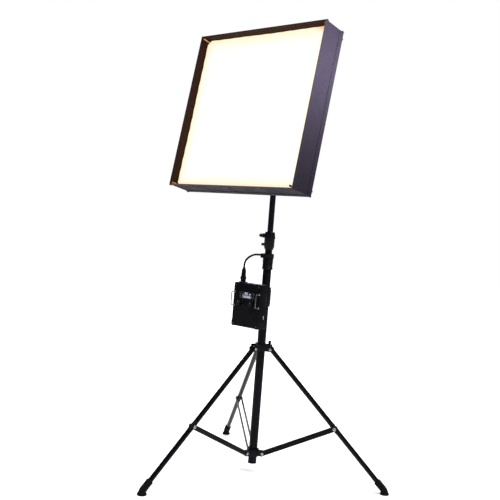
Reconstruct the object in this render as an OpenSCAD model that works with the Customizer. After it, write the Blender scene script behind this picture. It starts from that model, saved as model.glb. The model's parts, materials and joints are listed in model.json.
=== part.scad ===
// Studio softbox on a three-section light stand, with its control box clamped to the column.
// The column's axis is the Z axis, the floor is z = 0, and the softbox faces -Y.

/* [Column] */
// Outer diameter of the lower column tube
lower_d = 35; // [32:1:38]
// Outer diameter of the middle column tube
mid_d = 29; // [28:0.5:30]
// Outer diameter of the top column tube
top_d = 24; // [22:0.5:25]
// Wall of every tube
tube_wall = 1.5; // [1:0.1:1.6]
// Height of the top of the lower lock collar
lower_collar_top = 907; // [880:1:930]
// Height of the top end of the top tube
top_tube_top = 1342; // [1300:1:1400]

/* [Tripod] */
// Distance from a leg's top pivot to the pivot of its brace
leg_upper = 408; // [390:1:420]
// Length of a brace between its pivots
brace_length = 325; // [310:1:335]
// Height of the brace hub's pivots
hub_pivot_z = 82; // [75:1:90]
// Height of the leg collar's pivots
collar_pivot_z = 515; // [500:1:530]
// Distance of all pivots from the column's axis
pivot_r = 44; // [42:1:48]
// Diameter of a leg tube
leg_d = 20; // [18:0.5:20]
// Direction of the first leg, counted from -Y towards +X
first_leg = -6; // [-12:1:0]

/* [Softbox] */
// Outer width and height of the fabric walls
box_w = 640; // [600:10:660]
// Depth of the fabric walls
box_depth = 117; // [100:1:125]
// Depth of the diffuser behind the front rim
recess = 39; // [30:1:50]
// Upward pitch of the softbox
pitch = 11; // [5:1:15]
// Height of the tilt pivot
tilt_z = 1432; // [1430:1:1434]
// Distance from the tilt pivot to the back of the light mat
back_gap = 108.5; // [100:0.5:115]

/* [Control box] */
// Width of the control box
case_w = 140; // [134:1:146]
// Depth of the control box, with its front panel
case_d = 44; // [40:1:48]
// Height of the control box
case_h = 176; // [170:1:180]
// Height of the top of the control box
case_top = 784; // [780:1:788]
// Distance from the column's axis to the front panel
panel_y = 115; // [112:1:118]
// Diameter of the mat's lead
lead_d = 8; // [6:0.5:8.5]

/* [Hidden] */
$fn = 64;
slide_gap = 0.3;
fit_gap = 0.1;

// Directions round the column, counted from +X
knob_side = 221;
hidden_side = 130;
open_side = -50;
leg_knob_side = first_leg + 90;

// Column heights
column_foot = 40;
collar_r = 21.2;
lower_collar_z = 842;
lower_tube_top = 900;
upper_collar_z = 922;
upper_collar_top = 996;
mid_tube_top = 988;
mid_tube_z = 290;
top_tube_z = 600;
upper_knob_z = 980;
lower_knob_z = 862;

// Tripod
legs = [0, 1, 2];
leg_collar_z = 505;
leg_collar_h = 29;
hub_z = 66;
hub_h = 30;
ring_r = 24;
ear_t = 4;
ear_in = leg_d / 2 + 1;
strap_t = 2.5;
strap_h = 18;
strap_in = leg_d / 2 + 0.6;
pin_r = 3;
rivet_r = 5.5;
pivot_rise = collar_pivot_z - hub_pivot_z;
leg_angle = acos((pow(pivot_rise, 2) + pow(leg_upper, 2) - pow(brace_length, 2))
    / (2 * pivot_rise * leg_upper));
brace_angle = asin((pivot_rise - leg_upper * cos(leg_angle)) / brace_length);
sole_h = 6;
boot_l = 42;
boot_r = 14;
boot_toe = 14;
sole_r = 18;
foot_pivot_z = 18;
leg_length = (collar_pivot_z - foot_pivot_z) / cos(leg_angle);
foot_r = pivot_r + (collar_pivot_z - foot_pivot_z) * tan(leg_angle);

// Softbox, in the tilting head's own frame with its origin at the tilt pivot
wall_t = 3;
mat_t = 5;
cloth_t = 1.5;
corner_cut = 16;
rod_r = 3;
rod_at = box_w / 2 - wall_t - 5;
rod_nub = 7;
arm_w = 14;
arm_t = 6;
hub_r = 45;
hub_t = 22;
front_y = -back_gap - box_depth;
diffuser_y = front_y + recess;
tongue_w = 18;
fork_t = 6;
fork_x = tongue_w / 2 + 0.4;
fork_r = 17;
bolt_r = 4;

// Receiver on the spigot
spigot_r = 8;
spigot_top = 1396;
receiver_z = top_tube_top + 3.3;
receiver_top = 1402;
spigot_knob_z = 1372;

// Control box
panel_t = 3;
case_z = case_top - case_h;
case_back = -panel_y + case_d;
corner_r = 5;
control_z = case_top - 47;
dial_z = case_top - 82;
dial_x = 32;
dial_r = 11;
dial_l = 15;
button_x = 34;
button_r = 3.6;
button_pitch = 14;
button_out = 1.6;
window_w = 50;
window_h = 27;
handle_x = 65;
handle_z = case_top - 65;
handle_h = 58;
handle_out = 21;
wire_r = 2;
jaw_z = 690;
jaw_h = 78;
jaw_r = 22.5;
clamp_x = jaw_r + 7;
clamp_knob_z = 729;
switch_x = case_w / 2 - 3.5;
switch_pin_r = 1.5;
switch_y = -88;
switch_z = 654;
inlet_y = -92;
inlet_z = 640;
inlet_r = 8;
plug_x = -45;
plug_y = -93;
socket_h = 3;
plug_top = 846;

// The mat's lead: a free arc from the plug to the strap on the lower collar, then clipped up the
// hidden side of the column, and a slack bend from the receiver to the back of the light mat
lead_r = 25.5;
lug_r = 6.5;
strap_z = 888;
strap_h_low = 18;
mid_lug_z = 944;
top_tie_z = 1322;
tie_h = 12;
yoke_lug_z = 1386;
yoke_lug_h = 8;
arc_route = [
    [-45, -93, 846], [-45, -93, 853], [-45, -92, 861], [-44, -90, 869], [-43, -86, 876],
    [-41, -81, 882], [-39, -76, 887], [-37, -70, 891], [-35, -64, 894], [-33, -57, 897],
    [-31, -50, 899], [-29, -43, 900], [-27, -35, 900], [-24, -27, 900], [-21, -19, 899]
];
slack_route = [
    [-16.4, 19.5, 1394], [-18, 22, 1400], [-20.5, 22.5, 1408], [-23, 21, 1417], [-26, 16, 1426],
    [-28.5, 9, 1433], [-30, 1, 1438], [-31, -8, 1441], [-31.5, -18, 1442.3], [-31.5, -28, 1442.7],
    [-31, -38, 1442.6], [-30.2, -47, 1442.7], [-29.2, -56, 1443.4], [-28.4, -65, 1444.8],
    [-28, -73.7, 1446.4]
];
arc_step = 2;
cord_sides = 10;

// Unit vectors and rings for sweeping a round tube along a route
function unit(v) = v / norm(v);
function along(p, i) = unit(p[min(i + 1, len(p) - 1)] - p[max(i - 1, 0)]);
function ring(p, i, r, n) =
    let (t = along(p, i), a = unit(cross(t, [1, 0.3, 0.1])), b = cross(t, a))
    [for (k = [0:n - 1]) p[i] + r * (cos(k * 360 / n) * a + sin(k * 360 / n) * b)];

module swept(p, r, n) {
    m = len(p);
    points = [for (i = [0:m - 1]) each ring(p, i, r, n)];
    sides = [for (i = [0:m - 2], k = [0:n - 1])
        [i * n + k, (i + 1) * n + k, (i + 1) * n + (k + 1) % n, i * n + (k + 1) % n]];
    first = [for (k = [0:n - 1]) k];
    last = [for (k = [n - 1:-1:0]) (m - 1) * n + k];
    polyhedron(points, concat(sides, [first, last]), convexity = 6);
}

module tube(d, z0, z1, wall) {
    difference() {
        translate([0, 0, z0]) cylinder(d = d, h = z1 - z0);
        translate([0, 0, z0 - 1]) cylinder(d = d - 2 * wall, h = z1 - z0 + 2);
    }
}

// A box from its lowest to its highest corner
module span(a, b) {
    translate(a) cube(b - a);
}

// Something drawn on +X, turned round the column
module facing(side, z) {
    translate([0, 0, z]) rotate([0, 0, side]) children();
}

// A cylinder along +X
module rod_x(r, x0, x1) {
    translate([x0, 0, 0]) rotate([0, 90, 0]) cylinder(r = r, h = x1 - x0);
}

// A cylinder along Y
module rod_y(r, y0, y1) {
    translate([0, y1, 0]) rotate([90, 0, 0]) cylinder(r = r, h = y1 - y0);
}

// A leg's own plane: +X points outward from the column, Y is the pivots' axis
module on_leg(n) {
    rotate([0, 0, first_leg - 90 + 120 * n]) children();
}

// A box with four rounded upright edges
module rounded_box(a, b, r) {
    span(a + [r, 0, 0], b - [r, 0, 0]);
    span(a + [0, r, 0], b - [0, r, 0]);
    for (x = [a[0] + r, b[0] - r], y = [a[1] + r, b[1] - r])
        translate([x, y, a[2]]) cylinder(r = r, h = b[2] - a[2]);
}

// A wing screw along +X: its stem starts at x0 and the wing's bar ends at x0 + stem + 12
module wing_screw(x0, stem, wing) {
    rod_x(4, x0, x0 + stem);
    rod_x(7.5, x0 + stem, x0 + stem + 8);
    span([x0 + stem + 3, -4, -wing / 2], [x0 + stem + 12, 4, wing / 2]);
    for (s = [-1, 1])
        translate([0, 0, s * wing / 2]) rod_x(4, x0 + stem + 3, x0 + stem + 12);
}

// A lug that holds the lead on the column's hidden side
module lead_lug(z, h, from_r) {
    facing(hidden_side, z) {
        translate([lead_r, 0, 0]) cylinder(r = lug_r, h = h);
        span([from_r, -4, 0], [lead_r, 4, h]);
    }
}

module lead_run(z0, z1) {
    facing(hidden_side, z0) translate([lead_r, 0, 0]) cylinder(d = lead_d, h = z1 - z0);
}

// ---- Column ----

module lower_tube() {
    color("#121217") tube(lower_d, column_foot, lower_tube_top, tube_wall);
}

module column_plug() {
    color("#0c0c0e") {
        translate([0, 0, column_foot - 4]) cylinder(d = lower_d + 1, h = 4);
        translate([0, 0, column_foot]) cylinder(d = lower_d - 2 * tube_wall, h = 18);
    }
}

module lower_collar() {
    color("#0b0b0d") difference() {
        union() {
            rotate_extrude() polygon([
                [lower_d / 2, lower_collar_z], [collar_r + 1.2, lower_collar_z],
                [collar_r + 1.2, lower_collar_z + 6], [collar_r, lower_collar_z + 8],
                [collar_r, lower_collar_top], [mid_d / 2 + fit_gap, lower_collar_top],
                [mid_d / 2 + fit_gap, lower_tube_top], [lower_d / 2, lower_tube_top]
            ]);
            facing(open_side, lower_knob_z) rod_x(8.5, collar_r - 2, collar_r + 7);
        }
        facing(open_side, lower_knob_z) rod_x(4 + fit_gap, lower_d / 2 - 4, collar_r + 9);
    }
}

module lower_knob() {
    color("#08080a") facing(open_side, lower_knob_z) wing_screw(lower_d / 2 + 0.5, 14, 24);
}

module mid_tube() {
    color("#121217") tube(mid_d, mid_tube_z, mid_tube_top, tube_wall);
}

module upper_collar() {
    color("#0b0b0d") difference() {
        union() {
            rotate_extrude() polygon([
                [mid_d / 2 - 1, upper_collar_z], [mid_d / 2 + 1.5, upper_collar_z],
                [collar_r, upper_collar_z + 12], [collar_r, upper_collar_top - 8],
                [collar_r - 2, upper_collar_top], [top_d / 2 - 1, upper_collar_top],
                [top_d / 2 - 1, mid_tube_top], [mid_d / 2 - 1, mid_tube_top]
            ]);
            facing(knob_side, upper_knob_z) rod_x(9, mid_d / 2, collar_r + 10);
            facing(knob_side, mid_lug_z) rod_x(5.5, mid_d / 2, collar_r + 11);
            facing(knob_side + 180, upper_knob_z - 6) rod_x(5, mid_d / 2, collar_r + 2);
            lead_lug(mid_lug_z, tie_h, mid_d / 2 + 1);
        }
        translate([0, 0, upper_collar_z - 1])
            cylinder(d = mid_d, h = mid_tube_top - upper_collar_z + 1);
        translate([0, 0, mid_tube_top - 1])
            cylinder(d = top_d + 2 * fit_gap, h = upper_collar_top - mid_tube_top + 2);
        facing(knob_side, upper_knob_z) rod_x(4 + fit_gap, mid_d / 2, collar_r + 12);
    }
}

module upper_knob() {
    color("#08080a") facing(knob_side, upper_knob_z) rotate([90, 0, 0])
        wing_screw(mid_d / 2 + 0.5, 17, 24);
}

module top_tube() {
    color("#15151a") tube(top_d, top_tube_z, top_tube_top, tube_wall);
}

module spigot() {
    color("#b9bcc0") {
        translate([0, 0, top_tube_top - 20]) cylinder(d = top_d - 2 * tube_wall, h = 20);
        translate([0, 0, top_tube_top]) cylinder(d = top_d + 1, h = 3);
        translate([0, 0, top_tube_top]) cylinder(r = spigot_r, h = spigot_top - top_tube_top);
    }
}

module top_tie() {
    color("#0d0d10") difference() {
        union() {
            translate([0, 0, top_tie_z + 1]) cylinder(d = top_d + 4, h = tie_h - 2);
            lead_lug(top_tie_z, tie_h, top_d / 2 + 1);
        }
        translate([0, 0, top_tie_z - 1]) cylinder(d = top_d, h = tie_h + 2);
    }
}

// ---- Tripod ----

// A pin through one pivot, at distance r and height z, with a rivet head beyond each end
module pivot_pin(r, z, half) {
    translate([r, 0, z]) {
        rod_y(pin_r - fit_gap, -half, half);
        for (s = [-1, 1]) translate([0, s * (half + 1), 0]) rod_y(rivet_r, -1, 1);
    }
}

module leg_collar() {
    color("#0b0b0d") difference() {
        union() {
            translate([0, 0, leg_collar_z]) cylinder(r = ring_r, h = leg_collar_h);
            for (n = legs) on_leg(n) for (s = [-1, 1])
                translate([0, s * (ear_in + ear_t / 2), 0]) {
                    span([12, -ear_t / 2, leg_collar_z + 0.5],
                        [pivot_r, ear_t / 2, leg_collar_z + leg_collar_h - 0.5]);
                    translate([pivot_r, 0, collar_pivot_z]) rod_y(9.3, -ear_t / 2, ear_t / 2);
                }
            facing(leg_knob_side, leg_collar_z + 18) rod_x(9, lower_d / 2 + 1, ring_r + 12);
        }
        translate([0, 0, leg_collar_z - 1]) cylinder(d = lower_d + 2 * slide_gap, h = leg_collar_h + 2);
        for (n = legs) on_leg(n) translate([pivot_r, 0, collar_pivot_z]) rod_y(pin_r, -20, 20);
        facing(leg_knob_side, leg_collar_z + 18) rod_x(4 + fit_gap, lower_d / 2, ring_r + 14);
    }
}

module leg_pins() {
    color("#a9abb0") for (n = legs) on_leg(n) pivot_pin(pivot_r, collar_pivot_z, ear_in + ear_t);
}

module leg_knob() {
    color("#08080a") facing(leg_knob_side, leg_collar_z + 18) wing_screw(lower_d / 2 + 1, 22, 34);
}

// A hollow leg along its own slope, with a rounded head on the pivot
module leg(n) {
    color("#16161b") on_leg(n) translate([pivot_r, 0, collar_pivot_z]) difference() {
        union() {
            rod_y(leg_d / 2 + 0.8, -leg_d / 2, leg_d / 2);
            rotate([0, 180 - leg_angle, 0]) cylinder(d = leg_d, h = leg_length - 20);
        }
        rod_y(pin_r + fit_gap, -leg_d, leg_d);
        rotate([0, 180 - leg_angle, 0]) translate([0, 0, 16])
            cylinder(d = leg_d - 2 * tube_wall, h = leg_length);
    }
}

// A rubber boot over the leg's end, on a flared sole that lies flat on the floor
module foot(n) {
    color("#0a0a0b") on_leg(n) difference() {
        union() {
            translate([foot_r + 4, 0, 0]) cylinder(r = sole_r, h = sole_h);
            intersection() {
                translate([foot_r, 0, foot_pivot_z]) rotate([0, -leg_angle, 0])
                    translate([0, 0, -boot_toe]) cylinder(r = boot_r, h = boot_l + boot_toe);
                translate([foot_r, 0, 0]) cylinder(r = 80, h = 80);
            }
        }
        translate([foot_r, 0, foot_pivot_z]) rotate([0, -leg_angle, 0])
            translate([0, 0, 20]) cylinder(d = leg_d, h = boot_l + 20);
    }
}

module brace_hub() {
    color("#0b0b0d") difference() {
        union() {
            translate([0, 0, hub_z]) cylinder(r = ring_r, h = hub_h);
            for (n = legs) on_leg(n) {
                span([12, -strap_in + 0.5, hub_z + 4], [pivot_r, strap_in - 0.5, hub_z + hub_h - 4]);
                translate([pivot_r, 0, hub_pivot_z]) rod_y(9, -strap_in + 0.5, strap_in - 0.5);
            }
        }
        translate([0, 0, hub_z - 1]) cylinder(d = lower_d, h = hub_h + 2);
        for (n = legs) on_leg(n) translate([pivot_r, 0, hub_pivot_z]) rod_y(pin_r, -20, 20);
    }
}

module hub_pins() {
    color("#a9abb0") for (n = legs) on_leg(n)
        pivot_pin(pivot_r, hub_pivot_z, strap_in + strap_t + slide_gap);
}

// Two flat straps, one each side of the leg, with a rivet head on each at the leg's end
module brace(n) {
    color("#17171b") on_leg(n) translate([pivot_r, 0, hub_pivot_z]) rotate([0, -brace_angle, 0])
        for (s = [-1, 1]) translate([0, s * (strap_in + strap_t / 2), 0]) {
            difference() {
                union() {
                    span([0, -strap_t / 2, -strap_h / 2], [brace_length, strap_t / 2, strap_h / 2]);
                    for (x = [0, brace_length]) translate([x, 0, 0])
                        rod_y(strap_h / 2, -strap_t / 2, strap_t / 2);
                }
                rod_y(pin_r + fit_gap, -5, 5);
            }
            translate([brace_length, s * (strap_t / 2 + 1), 0]) rod_y(rivet_r, -1, 1);
        }
}

// ---- Clamp and control box ----

module jaw_half(s) {
    intersection() {
        difference() {
            union() {
                translate([0, 0, jaw_z]) cylinder(r = jaw_r, h = jaw_h);
                span([-clamp_x - 6, -7, jaw_z + 10], [jaw_r + 2, 7, jaw_z + jaw_h - 10]);
            }
            translate([0, 0, jaw_z - 1]) cylinder(d = lower_d, h = jaw_h + 2);
        }
        span([-60, s > 0 ? 0.5 : -60, jaw_z], [60, s > 0 ? 60 : -0.5, jaw_z + jaw_h]);
    }
}

module clamp_jaw() {
    color("#101013") difference() {
        union() {
            jaw_half(-1);
            span([-13, case_back, jaw_z + 8], [13, -lower_d / 2 - 1, jaw_z + jaw_h - 8]);
        }
        translate([-clamp_x, 0, clamp_knob_z]) rod_y(4 + fit_gap, -8, 8);
    }
}

module clamp_cap() {
    color("#101013") difference() {
        jaw_half(1);
        translate([-clamp_x, 0, clamp_knob_z]) rod_y(4 + fit_gap, -8, 8);
    }
}

module clamp_knob() {
    color("#08080a") translate([-clamp_x, 0, clamp_knob_z]) rotate([0, 0, 90]) {
        wing_screw(-7, 23, 22);
    }
}

// Places of the four screws in the front panel's corners
module at_screws() {
    for (x = [-1, 1], z = [case_z + 9, case_top - 9])
        translate([x * (case_w / 2 - 9), 0, z]) children();
}

// Places of the four buttons: left upper and lower, then right upper and lower
function button_place(k) =
    [(k < 3 ? -1 : 1) * button_x, 0, control_z + (k % 2 == 1 ? 0.5 : -0.5) * button_pitch];

module control_case() {
    color("#0d0d11") difference() {
        rounded_box([-case_w / 2, -panel_y + panel_t, case_z], [case_w / 2, case_back, case_top], corner_r);
        for (k = [1:4]) translate(button_place(k)) rod_y(button_r + 1, -panel_y, -panel_y + panel_t + 4);
        for (s = [-1, 1]) translate([s * dial_x, 0, dial_z]) rod_y(3.2, -panel_y, -panel_y + panel_t + 6);
        span([case_w / 2 - 8, switch_y - 6, switch_z - 10], [case_w / 2 + 1, switch_y + 6, switch_z + 10]);
        translate([switch_x, switch_y, switch_z]) rod_y(switch_pin_r + fit_gap, -8, 8);
        span([-window_w / 2, -panel_y, control_z - window_h / 2],
            [window_w / 2, -panel_y + panel_t + 1, control_z + window_h / 2]);
        at_screws() rod_y(2, -panel_y, -panel_y + panel_t + 8);
        translate([0, inlet_y, inlet_z]) rod_x(inlet_r, -case_w / 2 - 1, -case_w / 2 + 12);
    }
}

module control_panel() {
    color("#0a0a0e") difference() {
        translate([0, -panel_y + panel_t, case_z + case_h / 2]) rotate([90, 0, 0])
            rounded_box([-case_w / 2, -case_h / 2, 0], [case_w / 2, case_h / 2, panel_t], corner_r);
        for (k = [1:4]) translate(button_place(k)) rod_y(button_r + 0.4, -panel_y - 1, 0);
        for (s = [-1, 1]) translate([s * dial_x, 0, dial_z]) rod_y(3.2, -panel_y - 1, 0);
        span([-window_w / 2, -panel_y - 1, control_z - window_h / 2],
            [window_w / 2, -panel_y + panel_t + 1, control_z + window_h / 2]);
        at_screws() rod_y(2, -panel_y - 1, 0);
    }
}

module display() {
    color("#11131f") span([-window_w / 2, -panel_y + 0.6, control_z - window_h / 2],
        [window_w / 2, -panel_y + panel_t + 1, control_z + window_h / 2]);
}

// Two bent wires, one at each side of the front panel
module control_handles() {
    color("#777a80") for (x = [-handle_x, handle_x]) translate([x, 0, handle_z]) {
        for (s = [-1, 1]) translate([0, 0, s * (handle_h / 2 - wire_r)]) {
            rod_y(wire_r - 0.2, -panel_y - handle_out + wire_r, -panel_y);
            rod_y(wire_r + 2, -panel_y - 2, -panel_y);
        }
        translate([0, -panel_y - handle_out + wire_r, -handle_h / 2]) cylinder(r = wire_r, h = handle_h);
    }
}

module case_screws() {
    color("#4a4a50") at_screws() {
        rod_y(4, -panel_y - 1.6, -panel_y);
        rod_y(2, -panel_y, -panel_y + panel_t + 8);
    }
}

module power_inlet() {
    color("#3a3a40") translate([0, inlet_y, inlet_z]) difference() {
        union() {
            rod_x(inlet_r + 3.5, -case_w / 2 - 6, -case_w / 2);
            rod_x(inlet_r, -case_w / 2, -case_w / 2 + 12);
        }
        rod_x(inlet_r - 1.5, -case_w / 2 - 7, -case_w / 2 + 10);
    }
}

// A rocker on its pivot pin, shown tilted to one side
module power_switch() {
    color("#1a1a1c") translate([switch_x, switch_y, switch_z]) {
        rotate([0, -8, 0]) span([-2, -4.8, -8.2], [5.5, 4.8, 8.2]);
        rod_y(switch_pin_r, -7.6, 7.6);
    }
}

module output_socket() {
    color("#3a3a40") translate([plug_x, plug_y, case_top]) {
        span([-13, -13, 0], [13, 13, socket_h]);
    }
}

// The locking plug on the lead, with its knurled ring and its tapered strain relief
module cable_plug() {
    color("#0a0a0c") translate([plug_x, plug_y, case_top + socket_h]) rotate_extrude()
        polygon([[0, 0], [11, 0], [11, 8], [12.6, 10], [12.6, 21], [10, 23], [9.2, 48], [8, 52],
            [5.5, plug_top - case_top - socket_h], [0, plug_top - case_top - socket_h]]);
}

module cable_arc() {
    color("#0a0a0c")
        swept([for (i = [0:arc_step:len(arc_route) - 1]) arc_route[i]], lead_d / 2, cord_sides);
}

module cable_strap() {
    color("#0d0d10") difference() {
        union() {
            translate([0, 0, strap_z + 1]) cylinder(r = collar_r + 2.2, h = strap_h_low - 2);
            lead_lug(strap_z, strap_h_low, collar_r + 1);
            facing(knob_side, strap_z) translate([collar_r + 2.5, 0, 0])
                cylinder(r = 8, h = strap_h_low);
        }
        translate([0, 0, strap_z - 1]) cylinder(r = collar_r, h = strap_h_low + 2);
    }
}

module dial(s) {
    color("#1b1b1f") translate([s * dial_x, 0, dial_z]) {
        rod_y(dial_r, -panel_y - dial_l, -panel_y - 0.4);
        rod_y(dial_r - 1.5, -panel_y - dial_l - 1, -panel_y - dial_l);
        rod_y(3, -panel_y - 1, -panel_y + panel_t + 5);
    }
}

module button(k) {
    color("#26262b") translate(button_place(k))
        rod_y(button_r, -panel_y - button_out, -panel_y + panel_t + 1);
}

// ---- Lead up the column ----

module lead_lower() {
    color("#0a0a0c") lead_run(strap_z + strap_h_low, mid_lug_z);
}

module lead_upper() {
    color("#0a0a0c") lead_run(mid_lug_z + tie_h, top_tie_z);
}

module lead_yoke() {
    color("#0a0a0c") lead_run(top_tie_z + tie_h, yoke_lug_z);
}

module lead_head() {
    color("#0a0a0c") swept(slack_route, lead_d / 2, cord_sides);
}

// ---- Receiver and head ----

module receiver() {
    color("#131317") difference() {
        union() {
            translate([0, 0, receiver_z]) cylinder(r = fork_r, h = receiver_top - receiver_z);
            span([-fork_x - fork_t, -fork_r, receiver_top], [fork_x + fork_t, fork_r, receiver_top + 10]);
            for (s = [-1, 1]) translate([s * (fork_x + fork_t / 2), 0, 0]) {
                span([-fork_t / 2, -fork_r, receiver_top], [fork_t / 2, fork_r, tilt_z]);
                translate([0, 0, tilt_z]) rod_x(fork_r, -fork_t / 2, fork_t / 2);
            }
            facing(0, spigot_knob_z) rod_x(9, spigot_r + 1, fork_r + 9);
            lead_lug(yoke_lug_z, yoke_lug_h, 12);
        }
        translate([0, 0, receiver_z - 1])
            cylinder(r = spigot_r + fit_gap, h = spigot_top - receiver_z + 3);
        facing(0, spigot_knob_z) rod_x(4 + fit_gap, spigot_r, fork_r + 11);
        translate([0, 0, tilt_z]) rod_x(bolt_r + fit_gap, -30, 30);
    }
}

module spigot_knob() {
    color("#08080a") facing(0, spigot_knob_z) wing_screw(spigot_r + 0.5, 19, 30);
}

// The bolt through the fork, with a wing grip on one side and a hex head on the other
module tilt_knob() {
    color("#08080a") translate([0, 0, tilt_z]) {
        wing_screw(-fork_x - fork_t - 0.4, 2 * (fork_x + fork_t) + 0.8, 34);
        rod_x(7, -fork_x - fork_t - 5, -fork_x - fork_t - 0.4);
    }
}

// Everything on the head is drawn level and then pitched up about the tilt pivot
module on_head() {
    translate([0, 0, tilt_z]) rotate([-pitch, 0, 0]) children();
}

module tilt_bracket() {
    color("#131317") on_head() difference() {
        union() {
            rod_x(14, -tongue_w / 2, tongue_w / 2);
            span([-tongue_w / 2, -back_gap + hub_t + 6, -10], [tongue_w / 2, 0, 10]);
            rod_y(20, -back_gap + hub_t, -back_gap + hub_t + 6);
        }
        rod_x(bolt_r + fit_gap, -tongue_w, tongue_w);
    }
}

module cross_hub() {
    color("#17171b") on_head() {
        rod_y(hub_r, -back_gap + arm_t, -back_gap + hub_t);
        rod_y(hub_r - 12, -back_gap, -back_gap + arm_t);
        translate([-28, 0, 0]) rod_y(6.5, -back_gap + hub_t, -76.4);
    }
}

// Four spring arms from the hub to the mat's corners, each with a pocket at its end
module cross_arms() {
    color("#1c1c20") on_head() for (a = [45:90:315]) rotate([0, a, 0]) {
        span([hub_r - 11.5, -back_gap, -arm_w / 2], [sqrt(2) * rod_at - 8, -back_gap + arm_t, arm_w / 2]);
        span([sqrt(2) * rod_at - 42, -back_gap, -15], [sqrt(2) * rod_at - 5, -back_gap + arm_t + 4, 15]);
    }
}

// A square sheet with its corners cut off, between two depths
module cut_sheet(half, y0, y1) {
    c = corner_cut;
    translate([0, y1, 0]) rotate([90, 0, 0]) linear_extrude(y1 - y0) polygon([
        [-half + c, -half], [half - c, -half], [half, -half + c], [half, half - c],
        [half - c, half], [-half + c, half], [-half, half - c], [-half, -half + c]
    ]);
}

module light_mat() {
    color("#202024") on_head()
        cut_sheet(box_w / 2 - wall_t - 0.3, -back_gap - mat_t, -back_gap);
}

module diffuser() {
    color("#fffbe9") on_head()
        cut_sheet(box_w / 2 - wall_t - 0.3, diffuser_y, diffuser_y + cloth_t);
}

// Four fabric walls, open to the front
module skirt() {
    h = box_w / 2;
    middle = h - wall_t / 2;
    color("#3b3742") on_head() for (s = [-1, 1]) {
        span([-h, front_y, s * middle - wall_t / 2], [h, -back_gap, s * middle + wall_t / 2]);
        span([s * middle - wall_t / 2, front_y, -h + wall_t + 0.1],
            [s * middle + wall_t / 2, -back_gap, h - wall_t - 0.1]);
    }
}

// A stiffening rod in each corner, its rounded tip just past the front rim
module corner_rods() {
    color("#0c0c0e") on_head() for (x = [-1, 1], z = [-1, 1]) translate([x * rod_at, 0, z * rod_at]) {
        rod_y(rod_r, front_y - rod_nub + rod_r, -back_gap);
        translate([0, front_y - rod_nub + rod_r, 0]) sphere(r = rod_r);
    }
}

lower_tube();
column_plug();
brace_hub();
hub_pins();
lower_collar();
clamp_jaw();
clamp_cap();
control_case();
control_panel();
display();
control_handles();
case_screws();
power_inlet();
output_socket();
cable_plug();
cable_arc();
cable_strap();
leg_collar();
leg_pins();
leg(0);  // leg_1
leg(1);  // leg_2
leg(2);  // leg_3
foot(0);  // foot_1
foot(1);  // foot_2
foot(2);  // foot_3
brace(0);  // brace_1
brace(1);  // brace_2
brace(2);  // brace_3
leg_knob();
lower_knob();
upper_knob();
spigot_knob();
tilt_knob();
clamp_knob();
dial(-1);  // dial_left
dial(1);  // dial_right
button(1);  // button_1
button(2);  // button_2
button(3);  // button_3
button(4);  // button_4
power_switch();
mid_tube();
upper_collar();
lead_lower();
lead_upper();
top_tube();
spigot();
top_tie();
lead_yoke();
receiver();
lead_head();
tilt_bracket();
cross_hub();
cross_arms();
light_mat();
skirt();
diffuser();
corner_rods();
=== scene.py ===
import json
import math

import bmesh
import bpy
from mathutils import Matrix, Vector, noise


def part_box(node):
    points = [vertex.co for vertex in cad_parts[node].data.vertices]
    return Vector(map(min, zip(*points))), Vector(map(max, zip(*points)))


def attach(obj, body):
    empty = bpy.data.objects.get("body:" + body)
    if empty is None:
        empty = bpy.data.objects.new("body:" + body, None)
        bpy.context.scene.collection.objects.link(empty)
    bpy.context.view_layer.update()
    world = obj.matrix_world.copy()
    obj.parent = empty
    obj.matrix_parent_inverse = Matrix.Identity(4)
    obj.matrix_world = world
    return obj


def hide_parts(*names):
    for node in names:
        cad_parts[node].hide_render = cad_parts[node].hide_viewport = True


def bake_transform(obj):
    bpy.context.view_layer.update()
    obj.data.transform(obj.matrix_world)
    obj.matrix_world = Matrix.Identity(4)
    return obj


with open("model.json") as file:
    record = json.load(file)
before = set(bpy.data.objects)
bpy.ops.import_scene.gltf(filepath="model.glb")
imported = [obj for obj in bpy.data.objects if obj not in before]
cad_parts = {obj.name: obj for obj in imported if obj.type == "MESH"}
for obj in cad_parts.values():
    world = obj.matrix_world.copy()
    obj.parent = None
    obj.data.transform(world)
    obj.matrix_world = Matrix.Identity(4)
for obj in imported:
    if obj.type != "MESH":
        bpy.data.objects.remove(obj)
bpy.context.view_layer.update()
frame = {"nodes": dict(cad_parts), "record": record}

RECORD = frame["record"]
BODY = {node: body for body, nodes in RECORD["behaviour"]["bodies"].items() for node in nodes}
JOINT = {joint["name"]: joint for joint in RECORD["behaviour"]["joints"]}


def shifted(x, y, z):
    return Matrix.Translation((x, y, z))


def turned(degrees, axis):
    return Matrix.Rotation(math.radians(degrees), 4, axis)


def corners(node):
    """The low and the high corner of a CAD node's box."""
    return [Vector(corner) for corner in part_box(node)]


# The four corners of the softbox, as signs of X and Z
FOUR_CORNERS = ((-1, -1), (-1, 1), (1, -1), (1, 1))

# Driving sizes of the design, in metres. HEAD places what is drawn square to the softbox, from its tilt axis
TILT = Vector(JOINT["head_tilt"]["pos_m"])
PITCH_DEGREES = 11
HEAD = Matrix.Translation(TILT) @ turned(-PITCH_DEGREES, "X")
BOX_HALF = 0.32
BACK_Y = -0.1085
FRONT_Y = BACK_Y - 0.117
DEPTH = BACK_Y - FRONT_Y
DIFFUSER_Y = FRONT_Y + 0.039
ROD_AT = 0.312
MAT_HALF = 0.3165
CORNER_CUT = 0.016
PANEL_Y = -0.115
LEAD_D = 0.008

# The walls' cloth: its mesh steps along a side, its slack, and how far in its two faces lie
ACROSS = 56
STEP = 2 * BOX_HALF / ACROSS
SAG = 0.0028
OUTSIDE_IN = 0.0006
LINING_IN = 0.0024

# ---- Camera ----


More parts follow.
